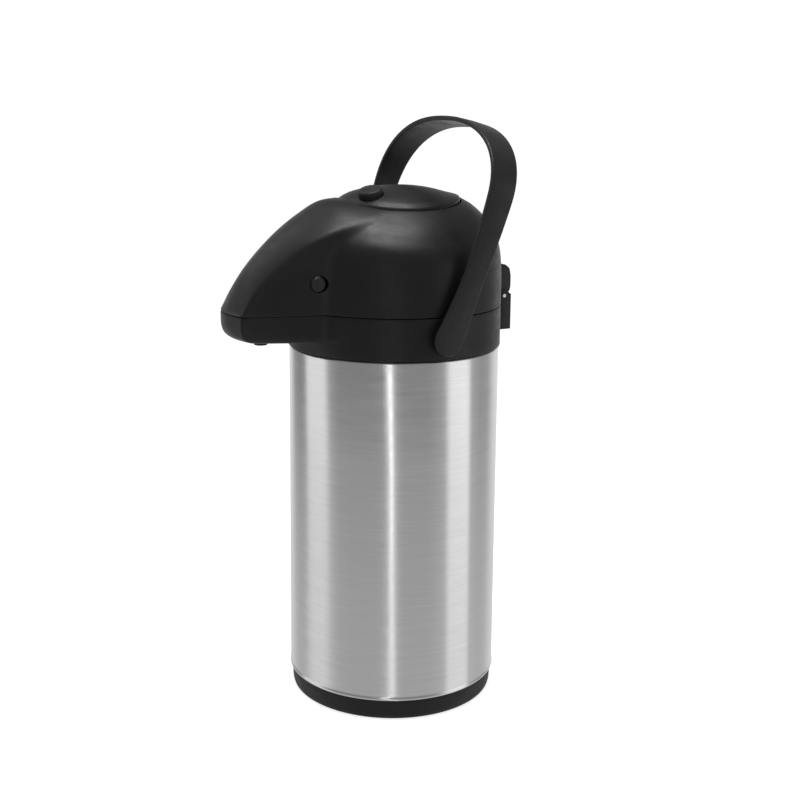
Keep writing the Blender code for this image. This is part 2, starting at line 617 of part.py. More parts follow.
button = make("push_button", crown_fall(turned(CAP + [(BUTTON_R, 0.3700)] + cap_in, SIDES,
                                               (0.0, BUTTON_Y))), BLACK, BUTTON)
add(button, turned(ring_profile(0.0300, 0.0325, 0.3881, 0.3965), 20, (0.0, BUTTON_Y)))
cut(button, on_knob_axis(turned(disc_profile(0.0097, -0.0025, 0.0150), 20)))
make("bellows_cap", turned(disc_profile(0.0338, 0.3851, 0.3878), 20, (0.0, BUTTON_Y)),
     INNER_GREY, BUTTON)
make("lock_knob", on_knob_axis(turned([
    (0.0, -0.0022), (0.0093, -0.0022), (0.0094, 0.0010), (0.0088, 0.0036), (0.0062, 0.0048),
    (0.0, 0.0052),
], 20)), HANDLE_BLACK, KNOB)

# ---- lid release buttons, one in each side of the beak ---------------------------------------------
for name, side in (("release_button_left", -1), ("release_button_right", 1)):
    y, z = RELEASE[1], RELEASE[2]
    bm = rod((side * 0.0300, y, z), (side, 0, 0), 0.0060, 0.0072, 16)
    body = make(name, bm, HANDLE_BLACK, (side * 0.0400, y, z))
    x = side * 0.0290
    add(body, rod((side * 0.0360, y, z), (side, 0, 0), 0.0046, 0.0022, 16))
    add(body, block((x - 0.0012, HOOK_Y[0], 0.3010), (x + 0.0012, HOOK_Y[1], z + 0.0045)))
    nose = x + side * 0.0022
    add(body, block((min(x, nose), HOOK_Y[0] + 0.0005, 0.3015),
                    (max(x, nose), HOOK_Y[1] - 0.0005, 0.3035)))
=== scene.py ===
"""Look of the push-button airpot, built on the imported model.

Metres, +Z up, the spout points to -Y, the lid hinge is at +Y and the carry handle
turns about X. The round pieces are turned, the lid and collar are drawn in polar
rows about the middle of the push button, so that beak and dome flow together.
"""
import json
import math

import bmesh
import bpy
from mathutils import Matrix, Vector
from mathutils.bvhtree import BVHTree


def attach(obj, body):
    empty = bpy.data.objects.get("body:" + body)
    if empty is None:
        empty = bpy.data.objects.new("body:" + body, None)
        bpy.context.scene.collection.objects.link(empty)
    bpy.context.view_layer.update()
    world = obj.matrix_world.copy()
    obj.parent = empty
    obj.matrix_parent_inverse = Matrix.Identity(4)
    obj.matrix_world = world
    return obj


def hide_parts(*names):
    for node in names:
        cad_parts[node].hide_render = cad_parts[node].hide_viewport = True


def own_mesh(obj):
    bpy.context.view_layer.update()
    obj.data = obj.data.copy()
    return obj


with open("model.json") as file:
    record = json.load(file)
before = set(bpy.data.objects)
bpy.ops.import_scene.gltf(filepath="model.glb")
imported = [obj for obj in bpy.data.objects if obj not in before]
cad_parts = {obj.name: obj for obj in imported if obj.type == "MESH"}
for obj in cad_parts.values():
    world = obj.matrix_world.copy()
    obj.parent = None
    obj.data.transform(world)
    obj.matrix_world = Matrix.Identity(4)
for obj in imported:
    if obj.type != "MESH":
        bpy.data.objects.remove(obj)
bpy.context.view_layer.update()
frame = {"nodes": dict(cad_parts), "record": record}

# ---- dimensions ------------------------------------------------------------------------
BODY_R = 0.0825
COLLAR_R = 0.0835
SHELL_TOP = 0.2805
SEAM_Z = 0.3124
LID_LOW = 0.3127
TRAY_LOW = 0.2922
WALL = 0.0023
HOLE_R = 0.0495
BUTTON_R = 0.0486
BUTTON_Y = 0.0020
CROWN_Z = 0.4045
SADDLE = 2.0
TILT = 0.05
SWING_Y, SWING_Z = -0.0025, 0.2965
ARM_X, ARM_T = 0.0901, 0.0042
ARM_BEND_Z, ARM_TOP_Z, ARM_POWER = 0.3957, 0.4530, 2.32
NOZZLE_Y = -0.1130
RELEASE = (0.0400, -0.0820, 0.3360)
HOOK_Y = (-0.0890, -0.0803)
KNOB = (0.0183, -0.0301, 0.3988)
KNOB_AXIS = (0.210, -0.247, 0.946)
HINGE_Y, HINGE_Z = 0.0965, 0.3130
LOBE_R, PIN_HOLE_R, HINGE_BACK_Y = 0.0052, 0.0018, 0.0842
SCREW_X, SCREW_Z, SCREW_HOLE_R = 0.0058, 0.2920, 0.0017
SLEEVE_LOW = 0.3680
FRONT_Y, FRONT_LENGTH = -0.085, 0.050
BEAK_ANGLE = 38
MERGE = 2e-6

# ---- node helpers ----------------------------------------------------------------------


class Nodes:
    """Short calls for one node tree."""

    def __init__(self, tree):
        self.tree = tree

    def add(self, kind, **settings):
        node = self.tree.nodes.new(kind)
        for key, value in settings.items():
            setattr(node, key, value)
        return node

    def link(self, source, target):
        self.tree.links.new(source, target)

    def put(self, socket, value):
        if hasattr(value, "is_linked"):
            self.link(value, socket)
        else:
            socket.default_value = value

    def math(self, operation, a, b=0.0, c=None, clamp=False):
        node = self.add("ShaderNodeMath", operation=operation, use_clamp=clamp)
        self.put(node.inputs[0], a)
        self.put(node.inputs[1], b)
        if c is not None:
            self.put(node.inputs[2], c)
        return node.outputs[0]

    def noise(self, vector, scale, detail=2.0, rough=0.5):
        node = self.add("ShaderNodeTexNoise")
        self.link(vector, node.inputs["Vector"])
        node.inputs["Scale"].default_value = scale
        node.inputs["Detail"].default_value = detail
        node.inputs["Roughness"].default_value = rough
        return node.outputs["Fac"]

    def remap(self, value, low, high, to_low, to_high):
        node = self.add("ShaderNodeMapRange")
        self.link(value, node.inputs["Value"])
        for key, number in (("From Min", low), ("From Max", high),
                            ("To Min", to_low), ("To Max", to_high)):
            node.inputs[key].default_value = number
        return node.outputs["Result"]

    def stretch(self, vector, scale):
        node = self.add("ShaderNodeMapping")
        self.link(vector, node.inputs["Vector"])
        node.inputs["Scale"].default_value = scale
        return node.outputs["Vector"]

    def tint(self, factor, one, two):
        node = self.add("ShaderNodeMix", data_type="RGBA")
        self.link(factor, node.inputs["Factor"])
        node.inputs["A"].default_value = (*one, 1.0)
        node.inputs["B"].default_value = (*two, 1.0)
        return node.outputs["Result"]

    def bump(self, height, strength, distance, normal=None):
        node = self.add("ShaderNodeBump")
        self.link(height, node.inputs["Height"])
        node.inputs["Strength"].default_value = strength
        node.inputs["Distance"].default_value = distance
        if normal is not None:
            self.link(normal, node.inputs["Normal"])
        return node.outputs["Normal"]


def blank(name):
    mat = bpy.data.materials.new("look_" + name)
    mat.use_nodes = True
    n = Nodes(mat.node_tree)
    shader = mat.node_tree.nodes["Principled BSDF"]
    place = n.add("ShaderNodeTexCoord").outputs["Object"]
    return mat, n, shader, place


def moulded(name, colour, rough, grain=1500.0, depth=0.25, scuff=0.10, wear=0.0, gloss=0.32):
    """Injection-moulded plastic: spark-eroded grain, slow tone change, faint rubs, worn edges."""
    mat, n, shader, place = blank(name)
    slow = n.noise(place, 14.0, 3.0)
    dark = tuple(c * 0.86 for c in colour)
    light = tuple(c * 1.16 for c in colour)
    tone = n.tint(n.remap(slow, 0.3, 0.7, 0.0, 1.0), dark, light)
    if wear:
        edge = n.add("ShaderNodeNewGeometry").outputs["Pointiness"]
        patch = n.remap(n.noise(place, 240.0, 4.0, 0.65), 0.42, 0.62, 0.2, 1.0)
        rubbed = n.math("MULTIPLY", n.remap(edge, 0.54, 0.64, 0.0, 1.0), patch, clamp=True)
        mix = n.add("ShaderNodeMix", data_type="RGBA")
        n.link(rubbed, mix.inputs["Factor"])
        n.link(tone, mix.inputs["A"])
        mix.inputs["B"].default_value = (*(c * (1.0 + wear) for c in colour), 1.0)
        tone = mix.outputs["Result"]
    n.link(tone, shader.inputs["Base Color"])
    rubs = n.noise(n.stretch(place, (1.0, 1.0, 2.6)), 55.0, 5.0, 0.6)
    pits = n.noise(place, grain, 2.0, 0.6)
    level = n.math("ADD", n.remap(rubs, 0.35, 0.75, rough - scuff * 0.5, rough + scuff),
                   n.remap(pits, 0.3, 0.7, -0.03, 0.03))
    n.link(level, shader.inputs["Roughness"])
    broad = n.noise(place, grain * 0.34, 1.0)
    normal = n.bump(pits, depth, 0.00006)
    normal = n.bump(broad, depth * 0.5, 0.00010, normal)
    n.link(normal, shader.inputs["Normal"])
    shader.inputs["Specular IOR Level"].default_value = gloss
    return mat


def brushed(name, colour, rough, stretch=0.96, lines=1400.0, along_z=True):
    """Steel brushed round its axis: hair lines, and reflections drawn out across them."""
    mat, n, shader, place = blank(name)
    split = n.add("ShaderNodeSeparateXYZ")
    n.link(place, split.inputs[0])
    turn = n.math("ARCTAN2", split.outputs["Y"], split.outputs["X"])
    join = n.add("ShaderNodeCombineXYZ")
    n.link(n.math("SINE", turn), join.inputs["X"])
    n.link(n.math("COSINE", turn), join.inputs["Y"])
    n.link(n.math("MULTIPLY", split.outputs["Z"], lines), join.inputs["Z"])
    wrap = join.outputs[0]
    fine = n.noise(wrap, 1.6, 4.0, 0.7)
    strokes = n.noise(n.stretch(wrap, (2.2, 2.2, 0.22)), 1.0, 3.0, 0.6)
    cloud = n.noise(place, 9.0, 3.0)
    dark = tuple(c * 0.93 for c in colour)
    light = tuple(min(c * 1.05, 1.0) for c in colour)
    streak = n.math("ADD", n.remap(fine, 0.3, 0.7, 0.0, 0.6),
                    n.remap(strokes, 0.3, 0.7, 0.0, 0.4))
    n.link(n.tint(streak, dark, light), shader.inputs["Base Color"])
    shader.inputs["Metallic"].default_value = 1.0
    level = n.math("ADD", n.remap(strokes, 0.3, 0.7, rough - 0.025, rough + 0.025),
                   n.remap(cloud, 0.35, 0.7, -0.01, 0.025))
    n.link(level, shader.inputs["Roughness"])
    if along_z:
        shader.inputs["Anisotropic"].default_value = stretch
        shader.inputs["Anisotropic Rotation"].default_value = 0.25
        tangent = n.add("ShaderNodeTangent", direction_type="RADIAL", axis="Z")
        n.link(tangent.outputs[0], shader.inputs["Tangent"])
    return mat


def soft(name, colour, rough, speck=900.0, bloom=0.0, clear=0.0):
    """Rubber or silicone: powdery, slightly mottled."""
    mat, n, shader, place = blank(name)
    mottle = n.noise(place, 60.0, 4.0, 0.6)
    n.link(n.tint(n.remap(mottle, 0.3, 0.7, 0.0, 1.0), tuple(c * 0.85 for c in colour),
                  tuple(min(c * 1.12, 1.0) for c in colour)), shader.inputs["Base Color"])
    dust = n.noise(place, speck, 2.0)
    n.link(n.remap(dust, 0.3, 0.7, rough - 0.06, rough + 0.06), shader.inputs["Roughness"])
    n.link(n.bump(dust, 0.2, 0.00008), shader.inputs["Normal"])
    if bloom:
        shader.inputs["Sheen Weight"].default_value = bloom
    if clear:
        shader.inputs["Subsurface Weight"].default_value = clear
        shader.inputs["Subsurface Scale"].default_value = 0.002
    return mat


MATS = {
    "brushed_steel": brushed("brushed_steel", (0.70, 0.70, 0.70), 0.19, 0.965, 520.0),
    "flask_steel": brushed("flask_steel", (0.56, 0.56, 0.57), 0.26, 0.7, 700.0),
    "black_moulding": moulded("black_moulding", (0.0085, 0.0085, 0.0088), 0.42,
                              1500.0, 0.28, 0.09, 0.5),
    "handle_black": moulded("handle_black", (0.0180, 0.0180, 0.0185), 0.42,
                            1900.0, 0.22, 0.12, 1.0),
    "base_black": moulded("base_black", (0.0115, 0.0115, 0.0118), 0.52,
                          1100.0, 0.35, 0.12, 0.8),
    "inner_moulding": moulded("inner_moulding", (0.075, 0.075, 0.079), 0.50,
                              1200.0, 0.2, 0.08),
    "rubber": soft("rubber", (0.030, 0.030, 0.031), 0.80, 1100.0, 0.15),
    "silicone": soft("silicone", (0.60, 0.58, 0.54), 0.48, 700.0, 0.0, 0.25),
    "tube_plastic": soft("tube_plastic", (0.66, 0.66, 0.64), 0.30, 500.0, 0.0, 0.2),
    "spring_wire": brushed("spring_wire", (0.62, 0.62, 0.63), 0.24, 0.5, 2600.0, False),
}
for row in frame["record"]["subparts"]:
    node = frame["nodes"][row["node"]]
    for place in node.material_slots:
        place.material = MATS[row["material_slot"]]

# ---- mesh helpers ----------------------------------------------------------------------


def piece(name, bm, slot, body, nodes=(), sharp=30.0):
    """Finish a closed mesh as a named piece that moves with its body."""
    bmesh.ops.remove_doubles(bm, verts=bm.verts, dist=MERGE)
    bmesh.ops.dissolve_degenerate(bm, edges=bm.edges, dist=MERGE)
    bmesh.ops.recalc_face_normals(bm, faces=bm.faces)
    mesh = bpy.data.meshes.new(name)
    bm.to_mesh(mesh)
    bm.free()
    mesh.materials.append(MATS[slot])
    mesh.shade_smooth()
    mesh.set_sharp_from_angle(angle=math.radians(sharp))
    obj = bpy.data.objects.new(name, mesh)
    bpy.context.scene.collection.objects.link(obj)
    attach(obj, body)
    if nodes:
        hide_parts(*nodes)
    return obj


def skin(rows, ring=False):
    """Quads between closed rows of equal length; the ends are capped unless it is a ring."""
    bm = bmesh.new()
    verts = [[bm.verts.new(p) for p in row] for row in rows]
    pairs = list(zip(verts, verts[1:]))
    if ring:
        pairs.append((verts[-1], verts[0]))
    for low, high in pairs:
        for i in range(len(low)):
            j = (i + 1) % len(low)
            bm.faces.new((low[i], low[j], high[j], high[i]))
    if not ring:
        bm.faces.new(list(reversed(verts[0])))
        bm.faces.new(verts[-1])
    return bm


def unit(value):
    """The value held between 0 and 1."""
    return max(0.0, min(1.0, value))


def rounded(points, radius, steps=3, closed=True, keep=()):
    """Round the corners of a polyline; keep lists the corners that stay sharp."""
    out = []
    count = len(points)
    for i, p in enumerate(points):
        p = Vector(p)
        if i in keep or (not closed and i in (0, count - 1)):
            out.append(tuple(p))
            continue
        a, b = Vector(points[i - 1]), Vector(points[(i + 1) % count])
        size = min(radius, 0.45 * (a - p).length, 0.45 * (b - p).length)
        one, two = p + (a - p).normalized() * size, p + (b - p).normalized() * size
        for k in range(steps + 1):
            t = k / steps
            out.append(tuple((1 - t) ** 2 * one + 2 * t * (1 - t) * p + t * t * two))
    return out


def lathe(profile, sides=192, centre=(0.0, 0.0), bend=None):
    """Revolve a closed (radius, height) profile. A point on the axis closes a pole."""
    bm = bmesh.new()
    rings = []
    for radius, height in profile:
        if radius < 1e-6:
            rings.append([bm.verts.new((centre[0], centre[1], height))])
            continue
        turns = [2 * math.pi * k / sides for k in range(sides)]
        rings.append([bm.verts.new((centre[0] + radius * math.cos(a),
                                    centre[1] + radius * math.sin(a), height)) for a in turns])
    for n, one in enumerate(rings):
        two = rings[(n + 1) % len(rings)]
        if len(one) == 1 and len(two) == 1:
            continue
        for k in range(sides):
            m = (k + 1) % sides
            if len(one) == 1:
                bm.faces.new((one[0], two[m], two[k]))
            elif len(two) == 1:
                bm.faces.new((one[k], one[m], two[0]))
            else:
                bm.faces.new((one[k], one[m], two[m], two[k]))
    if bend:
        for v in bm.verts:
            v.co = bend(v.co)
    return bm


def tube(r_in, r_out, low, high, sides=64, centre=(0.0, 0.0), edge=0.0004):
    profile = [(r_in, low), (r_out, low), (r_out, high), (r_in, high)]
    return lathe(rounded(profile, edge), sides, centre)


def disc(radius, low, high, sides=64, centre=(0.0, 0.0)):
    return lathe([(0.0, low), (radius, low), (radius, high), (0.0, high)], sides, centre)


def carried(bm, start, axis):
    """Turn a mesh's +Z along an axis and move its origin to start."""
    turn = Vector((0, 0, 1)).rotation_difference(Vector(axis)).to_matrix().to_4x4()
    bmesh.ops.transform(bm, matrix=Matrix.Translation(Vector(start)) @ turn, verts=bm.verts)
    return bm


def axle(start, axis, radius, length, sides=48, edge=0.0):
    """A round bar with rounded ends from start along an axis."""
    profile = [(0.0, 0.0), (radius, 0.0), (radius, length), (0.0, length)]
    if edge:
        profile = rounded(profile, edge, 3, True, (0, 3))
    return carried(lathe(profile, sides), start, axis)


def block(low, high, edge=0.0):
    bm = bmesh.new()
    bmesh.ops.create_cube(bm, size=1.0)
    for v in bm.verts:
        for i in range(3):
            v.co[i] = low[i] if v.co[i] < 0 else high[i]
    if edge:
        bmesh.ops.bevel(bm, geom=bm.edges[:], offset=edge, segments=3, affect="EDGES", profile=0.5)
    return bm


def outline_solid(outline, lift, depth_rows):
    """Extrude an outline: lift(point, depth) gives a 3-D point, rows are (depth, inset)."""
    middle = sum((Vector(p) for p in outline), Vector((0.0, 0.0))) / len(outline)
    count = len(outline)
    inward = []
    for i, p in enumerate(outline):
        a, b = Vector(outline[i - 1]), Vector(outline[(i + 1) % count])
        t = (b - a).normalized()
        nrm = Vector((-t.y, t.x))
        if nrm.dot(middle - Vector(p)) < 0:
            nrm = -nrm
        inward.append(nrm)
    rows = [[lift(Vector(p) + inward[i] * inset, depth) for i, p in enumerate(outline)]
            for depth, inset in depth_rows]
    return skin(rows)


def combined(base, tools):
    """Base mesh with (operation, mesh) tools applied in order."""
    def temp(bm):
        bmesh.ops.remove_doubles(bm, verts=bm.verts, dist=MERGE)
        bmesh.ops.recalc_face_normals(bm, faces=bm.faces)
        mesh = bpy.data.meshes.new("temp")
        bm.to_mesh(mesh)
        bm.free()
        obj = bpy.data.objects.new("temp", mesh)
        bpy.context.scene.collection.objects.link(obj)
        return obj
    main = temp(base)
    helpers = []
    for operation, bm in tools:
        other = temp(bm)
        helpers.append(other)
        mod = main.modifiers.new("step", "BOOLEAN")
        mod.operation, mod.solver, mod.object = operation, "EXACT", other
    bpy.context.view_layer.update()
    depsgraph = bpy.context.evaluated_depsgraph_get()
    mesh = bpy.data.meshes.new_from_object(main.evaluated_get(depsgraph))
    out = bmesh.new()
    out.from_mesh(mesh)
    bpy.data.meshes.remove(mesh)
    for obj in [main] + helpers:
        data = obj.data
        bpy.data.objects.remove(obj)
        bpy.data.meshes.remove(data)
    return out


def spline(points, per):
    """Catmull-Rom curve through the points, per steps for each span."""
    pts = [Vector(p) for p in points]
    out = []
    for i in range(len(pts) - 1):
        p0 = pts[i - 1] if i else pts[0] * 2 - pts[1]
        p1, p2 = pts[i], pts[i + 1]
        p3 = pts[i + 2] if i + 2 < len(pts) else pts[-1] * 2 - pts[-2]
        for k in range(per):
            t = k / per
            out.append(0.5 * (2 * p1 + (p2 - p0) * t + (2 * p0 - 5 * p1 + 4 * p2 - p3) * t * t
                              + (3 * p1 - p0 - 3 * p2 + p3) * t ** 3))
    out.append(pts[-1])
    return out


def blended(a, b, reach):
    """The larger of two radii, with a fillet where they are nearly equal."""
    h = unit(0.5 + 0.5 * (a - b) / reach)
    return b + (a - b) * h + reach * h * (1.0 - h)


def lid_bend(p, tilt=TILT):
    """The crown falls off towards the sides, and the button's rim towards the beak."""
    t = unit((p.z - 0.325) / 0.071)
    rim = unit((p.z - SLEEVE_LOW) / 0.020)
    return Vector((p.x, p.y, p.z + tilt * (p.y - BUTTON_Y) * rim - SADDLE * p.x * p.x * t))


# ---- base and flask --------------------------------------------------------------------
piece("look_base_cap", lathe(rounded([
    (0.0, 0.0036), (0.0303, 0.0036), (0.0303, 0.0008), (0.0340, 0.0008), (0.0345, 0.0030),
    (0.0640, 0.0030), (0.0660, 0.0), (0.0780, 0.0), (0.0798, 0.0010), (0.0806, 0.0035),
    (0.0813, 0.0128), (0.0814, 0.0160), (0.0815, 0.0240), (0.0790, 0.0240), (0.0785, 0.0058),
    (0.0, 0.0062),
], 0.0008, 3, True, (0, 15))), "base_black", "vessel", ("base_cap",))
piece("look_outer_shell", lathe(rounded([
    (0.0, 0.0262), (0.0817, 0.0262), (0.0817, 0.0170), (0.0821, 0.0164), (0.0829, 0.0166),
    (0.0830, 0.0180), (0.08255, 0.0190), (BODY_R, 0.0200), (BODY_R, 0.1000), (BODY_R, 0.2000),
    (BODY_R, SHELL_TOP - 0.0012), (0.0805, SHELL_TOP + 0.0004), (0.0805, 0.2860), (0.0780, 0.2885),
    (0.0420, 0.2895), (0.0390, 0.2905), (0.0386, 0.2950), (0.0379, 0.2950), (0.0379, 0.2894),
    (0.0415, 0.2886), (0.0775, 0.2876), (0.0797, 0.2855), (0.0797, SHELL_TOP - 0.0004),
    (0.0817, SHELL_TOP - 0.0022), (0.0817, 0.0270), (0.0, 0.0270),
], 0.0007, 3, True, (0, 25)), 256), "brushed_steel", "vessel", ("outer_shell",))

# ---- outer form of beak and dome ---------------------------------------------------------
BEAK_TOP = [(-0.0300, 0.3945), (-0.0470, 0.3955), (-0.0620, 0.3936), (-0.0780, 0.3842),
            (-0.0930, 0.3735), (-0.1060, 0.3628), (-0.1170, 0.3518), (-0.1260, 0.3402),
            (-0.1330, 0.3276), (-0.1380, 0.3162), (-0.1400, LID_LOW)]
BEAK_RIDGE = [(0.0400, -0.0250, 0.3860), (0.0455, -0.0380, 0.3850), (0.0440, -0.0530, 0.3820),
              (0.0405, -0.0700, 0.3760), (0.0355, -0.0850, 0.3678), (0.0305, -0.0970, 0.3588),
              (0.0270, -0.1090, 0.3488), (0.0245, -0.1200, 0.3378), (0.0225, -0.1290, 0.3262),
              (0.0213, -0.1350, 0.3160), (0.0205, -0.1368, LID_LOW)]
BEAK_FOOT = [(0.0400, -0.0250), (0.0480, -0.0400), (0.0500, -0.0600), (0.0425, -0.0680),
             (0.0370, -0.0800), (0.0340, -0.0960), (0.0300, -0.1120), (0.0268, -0.1225),
             (0.0242, -0.1300), (0.0220, -0.1352), (0.0205, -0.1368)]
DOME = [(COLLAR_R, LID_LOW), (COLLAR_R, 0.3304), (0.0832, 0.3439), (0.0824, 0.3542),
        (0.0806, 0.3626), (0.0775, 0.3695), (0.0730, 0.3760), (0.0680, 0.3815),
        (0.0615, 0.3867), (0.0550, 0.3907), (HOLE_R, 0.3934), (0.0400, 0.3962), (0.0, 0.3980)]
SKIRT = 0.0040


def beak_surface():
    tops = spline([(0.0, y, z) for y, z in BEAK_TOP], 7)
    ridges = spline(BEAK_RIDGE, 7)
    feet = spline([(x, y, LID_LOW) for x, y in BEAK_FOOT], 7)
    rows = []
    for top, ridge, foot in zip(tops, ridges, feet):
        half = []
        for k in range(21):
            s = k / 20
            half.append(Vector((ridge.x * s, top.y + (ridge.y - top.y) * s * s,
                                top.z + (ridge.z - top.z) * s * s)))
        for k in range(1, 21):
            t = k / 20
            half.append(Vector((
                ridge.x + (foot.x - ridge.x) * t + 0.0012 * math.sin(math.pi * t),
                ridge.y + (foot.y - ridge.y) * t, ridge.z + (LID_LOW - ridge.z) * t)))
        for _ in range(2):
            half = [half[0]] + [(half[i - 1] + half[i] * 2 + half[i + 1]) / 4
                                for i in range(1, len(half) - 1)] + [half[-1]]
        half.append(half[-1] - Vector((0, 0, SKIRT)))
        rows.append([Vector((-p.x, p.y, p.z)) for p in reversed(half[1:])] + half)
    rows.append([Vector((p.x, p.y, LID_LOW - SKIRT)) for p in rows[-1]])
    verts = [lid_bend(p, 0.0) for row in rows for p in row]
    wide = len(rows[0])
    faces = [(i * wide + j, i * wide + j + 1, (i + 1) * wide + j + 1, (i + 1) * wide + j)
             for i in range(len(rows) - 1) for j in range(wide - 1)]
    return BVHTree.FromPolygons(verts, faces)


def dome_surface():
    profile = [Vector((COLLAR_R, LID_LOW - SKIRT))] + spline([(r, z) for r, z in DOME], 6)
    sides = 420
    verts, faces = [], []
    for p in profile:
        for k in range(sides):
            a = 2 * math.pi * k / sides
            verts.append(lid_bend(Vector((p[0] * math.cos(a), p[0] * math.sin(a), p[1]))))
    for i in range(len(profile) - 1):
        for k in range(sides):
            m = (k + 1) % sides
            faces.append((i * sides + k, i * sides + m,
                          (i + 1) * sides + m, (i + 1) * sides + k))
    return BVHTree.FromPolygons(verts, faces)


BEAK, ROUND = beak_surface(), dome_surface()
CENTRE = Vector((0.0, BUTTON_Y, LID_LOW))
FILLET = 0.0060


def reach(surface, direction):
    hit = surface.ray_cast(CENTRE + direction * 0.4, -direction, 0.4)
    return 0.4 - hit[3] if hit[0] is not None else 0.0


def form(angle, rise):
    """Distance from the centre to the lid's outer skin; angle 0 is the spout's direction."""
    flat = Vector((math.sin(angle), -math.cos(angle), 0.0))
    d = flat * math.cos(rise) + Vector((0, 0, math.sin(rise)))
    return blended(reach(ROUND, d), reach(BEAK, d), FILLET), d


# half-degree steps over the beak, two-degree steps round the rest
ANGLES = [math.radians(-BEAK_ANGLE + 0.5 * k) for k in range(4 * BEAK_ANGLE + 1)]
ANGLES += [math.radians(BEAK_ANGLE + 284 * k / 142) for k in range(1, 142)]
ROWS = 70


def lid_rows():
    tops, columns = [], []
    for a in ANGLES:
        low, high = 0.2, 1.5
        for _ in range(26):
            mid = (low + high) / 2
            r, d = form(a, mid)
            if r * math.cos(mid) > HOLE_R + 0.0014:
                low = mid
            else:
                high = mid
        tops.append(low)
    for a, top in zip(ANGLES, tops):
        column = []
        for j in range(ROWS + 1):
            share = j / ROWS
            rise = top * (share ** 0.92) + 0.010 * (1 - share)
            r, d = form(a, rise)
            column.append((r, d))
        columns.append(column)
    feet = [form(a, 0.0)[0] for a in ANGLES]
    return feet, columns


feet, columns = lid_rows()


def ring_at(radii, z):
    return [(CENTRE.x + r * math.sin(a), CENTRE.y - r * math.cos(a), z)
            for a, r in zip(ANGLES, radii)]


def hole_ring(radius, drop):
    """Ring round the button opening, following the height of the lid's rim."""
    out = []
    for a, column in zip(ANGLES, columns):
        r, d = column[-1]
        z = CENTRE.z + r * d.z
        out.append((radius * math.sin(a), BUTTON_Y - radius * math.cos(a), z - drop))
    return out


rows = []
for inset, up in ((0.0011, 0.0), (0.0005, 0.00008), (0.00015, 0.0003), (0.0, 0.0007)):
    rows.append(ring_at([r - inset for r in feet], LID_LOW + up))
for j in range(ROWS + 1):
    rows.append([tuple(CENTRE + col[j][1] * col[j][0]) for col in columns])
rows.append(hole_ring(HOLE_R + 0.0008, 0.00006))
rows.append(hole_ring(HOLE_R + 0.0004, 0.0003))
rows.append(hole_ring(HOLE_R + 0.0001, 0.0008))
rows.append(hole_ring(HOLE_R, 0.0015))
rows.append([(x, y, 0.3800) for x, y, z in hole_ring(HOLE_R, 0.0)])
rows.append([(x, y, SLEEVE_LOW) for x, y, z in hole_ring(HOLE_R, 0.0)])
rows.append([(x, y, SLEEVE_LOW) for x, y, z in hole_ring(HOLE_R + 0.0018, 0.0)])
rows.append(hole_ring(HOLE_R + 0.0020, 0.0046))
for j in range(ROWS - 5, 2, -3):
    rows.append([tuple(CENTRE + col[j][1] * (col[j][0] - WALL * 1.12)) for col in columns])
rows.append(ring_at([r - WALL for r in feet], LID_LOW))
lid_mesh = skin(rows, ring=True)
tools = []
for side in (1, -1):
    tools.append(("DIFFERENCE", axle((side * 0.0250, RELEASE[1], RELEASE[2]), (side, 0, 0),
                                     0.0064, 0.0250)))
piece("look_lid_shell", combined(lid_mesh, tools), "black_moulding", "lid", ("lid_shell",), 34)

# ---- collar and the beak's lower tray ----------------------------------------------------
beak_feet = []
round_feet = []
for a in ANGLES:
    d = Vector((math.sin(a), -math.cos(a), 0.0))
    beak_feet.append(reach(BEAK, d))
    round_feet.append(reach(ROUND, d))


def tray_ring(z, inset, tip, trim=0.0):
    out = []
    for a, far, near in zip(ANGLES, beak_feet, round_feet):
        y = CENTRE.y - far * math.cos(a)
        front = unit((FRONT_Y - y) / FRONT_LENGTH)
        r = far - inset - front * tip if far > 0 else 0.0
        r = blended(near, r, FILLET) - trim
        out.append((CENTRE.x + r * math.sin(a), CENTRE.y - r * math.cos(a), z))
    return out


def collar_ring(z, trim=0.0):
    return ring_at([r - trim for r in round_feet], z)


TRAY = [(TRAY_LOW, 0.0052, 0.0118), (0.29225, 0.0036, 0.0100), (0.2925, 0.0025, 0.0080),
        (0.2930, 0.0016, 0.0062), (0.2938, 0.0009, 0.0046), (0.2950, 0.0004, 0.0031),
        (0.2965, 0.0001, 0.0019), (0.2985, 0.0, 0.0010), (0.3010, 0.0, 0.0004), (0.3040, 0.0, 0.0)]
rows = [collar_ring(SHELL_TOP + 0.0006, 0.0007), collar_ring(SHELL_TOP + 0.00068, 0.0003),
        collar_ring(SHELL_TOP + 0.0009, 0.00008), collar_ring(SHELL_TOP + 0.0014),
        collar_ring(0.2860), collar_ring(0.2912), collar_ring(TRAY_LOW)]
rows += [tray_ring(z, inset, tip) for z, inset, tip in TRAY]
rows += [tray_ring(SEAM_Z - up, 0.0, 0.0, trim)
         for up, trim in ((0.0030, 0.0), (0.0008, 0.0), (0.0003, 0.00015),
                          (0.00008, 0.0005), (0.0, 0.0011))]
collar_mesh = skin(rows)
pocket = []
for a, far, near in zip(ANGLES, beak_feet, round_feet):
    y = CENTRE.y - far * math.cos(a)
    front = unit((FRONT_Y - y) / FRONT_LENGTH)
    r = far - WALL - front * (WALL + 0.0008)
    if r > near + 0.0006:
        pocket.append((CENTRE.x + r * math.sin(a), CENTRE.y - r * math.cos(a)))
first, last = (math.atan2(x, CENTRE.y - y) for x, y in (pocket[0], pocket[-1]))
inner = [(CENTRE.x + (near + 0.0005) * math.sin(a), CENTRE.y - (near + 0.0005) * math.cos(a))
         for a, near in zip(ANGLES, round_feet) if first <= a <= last]
pocket_outline = pocket + inner[::-1]
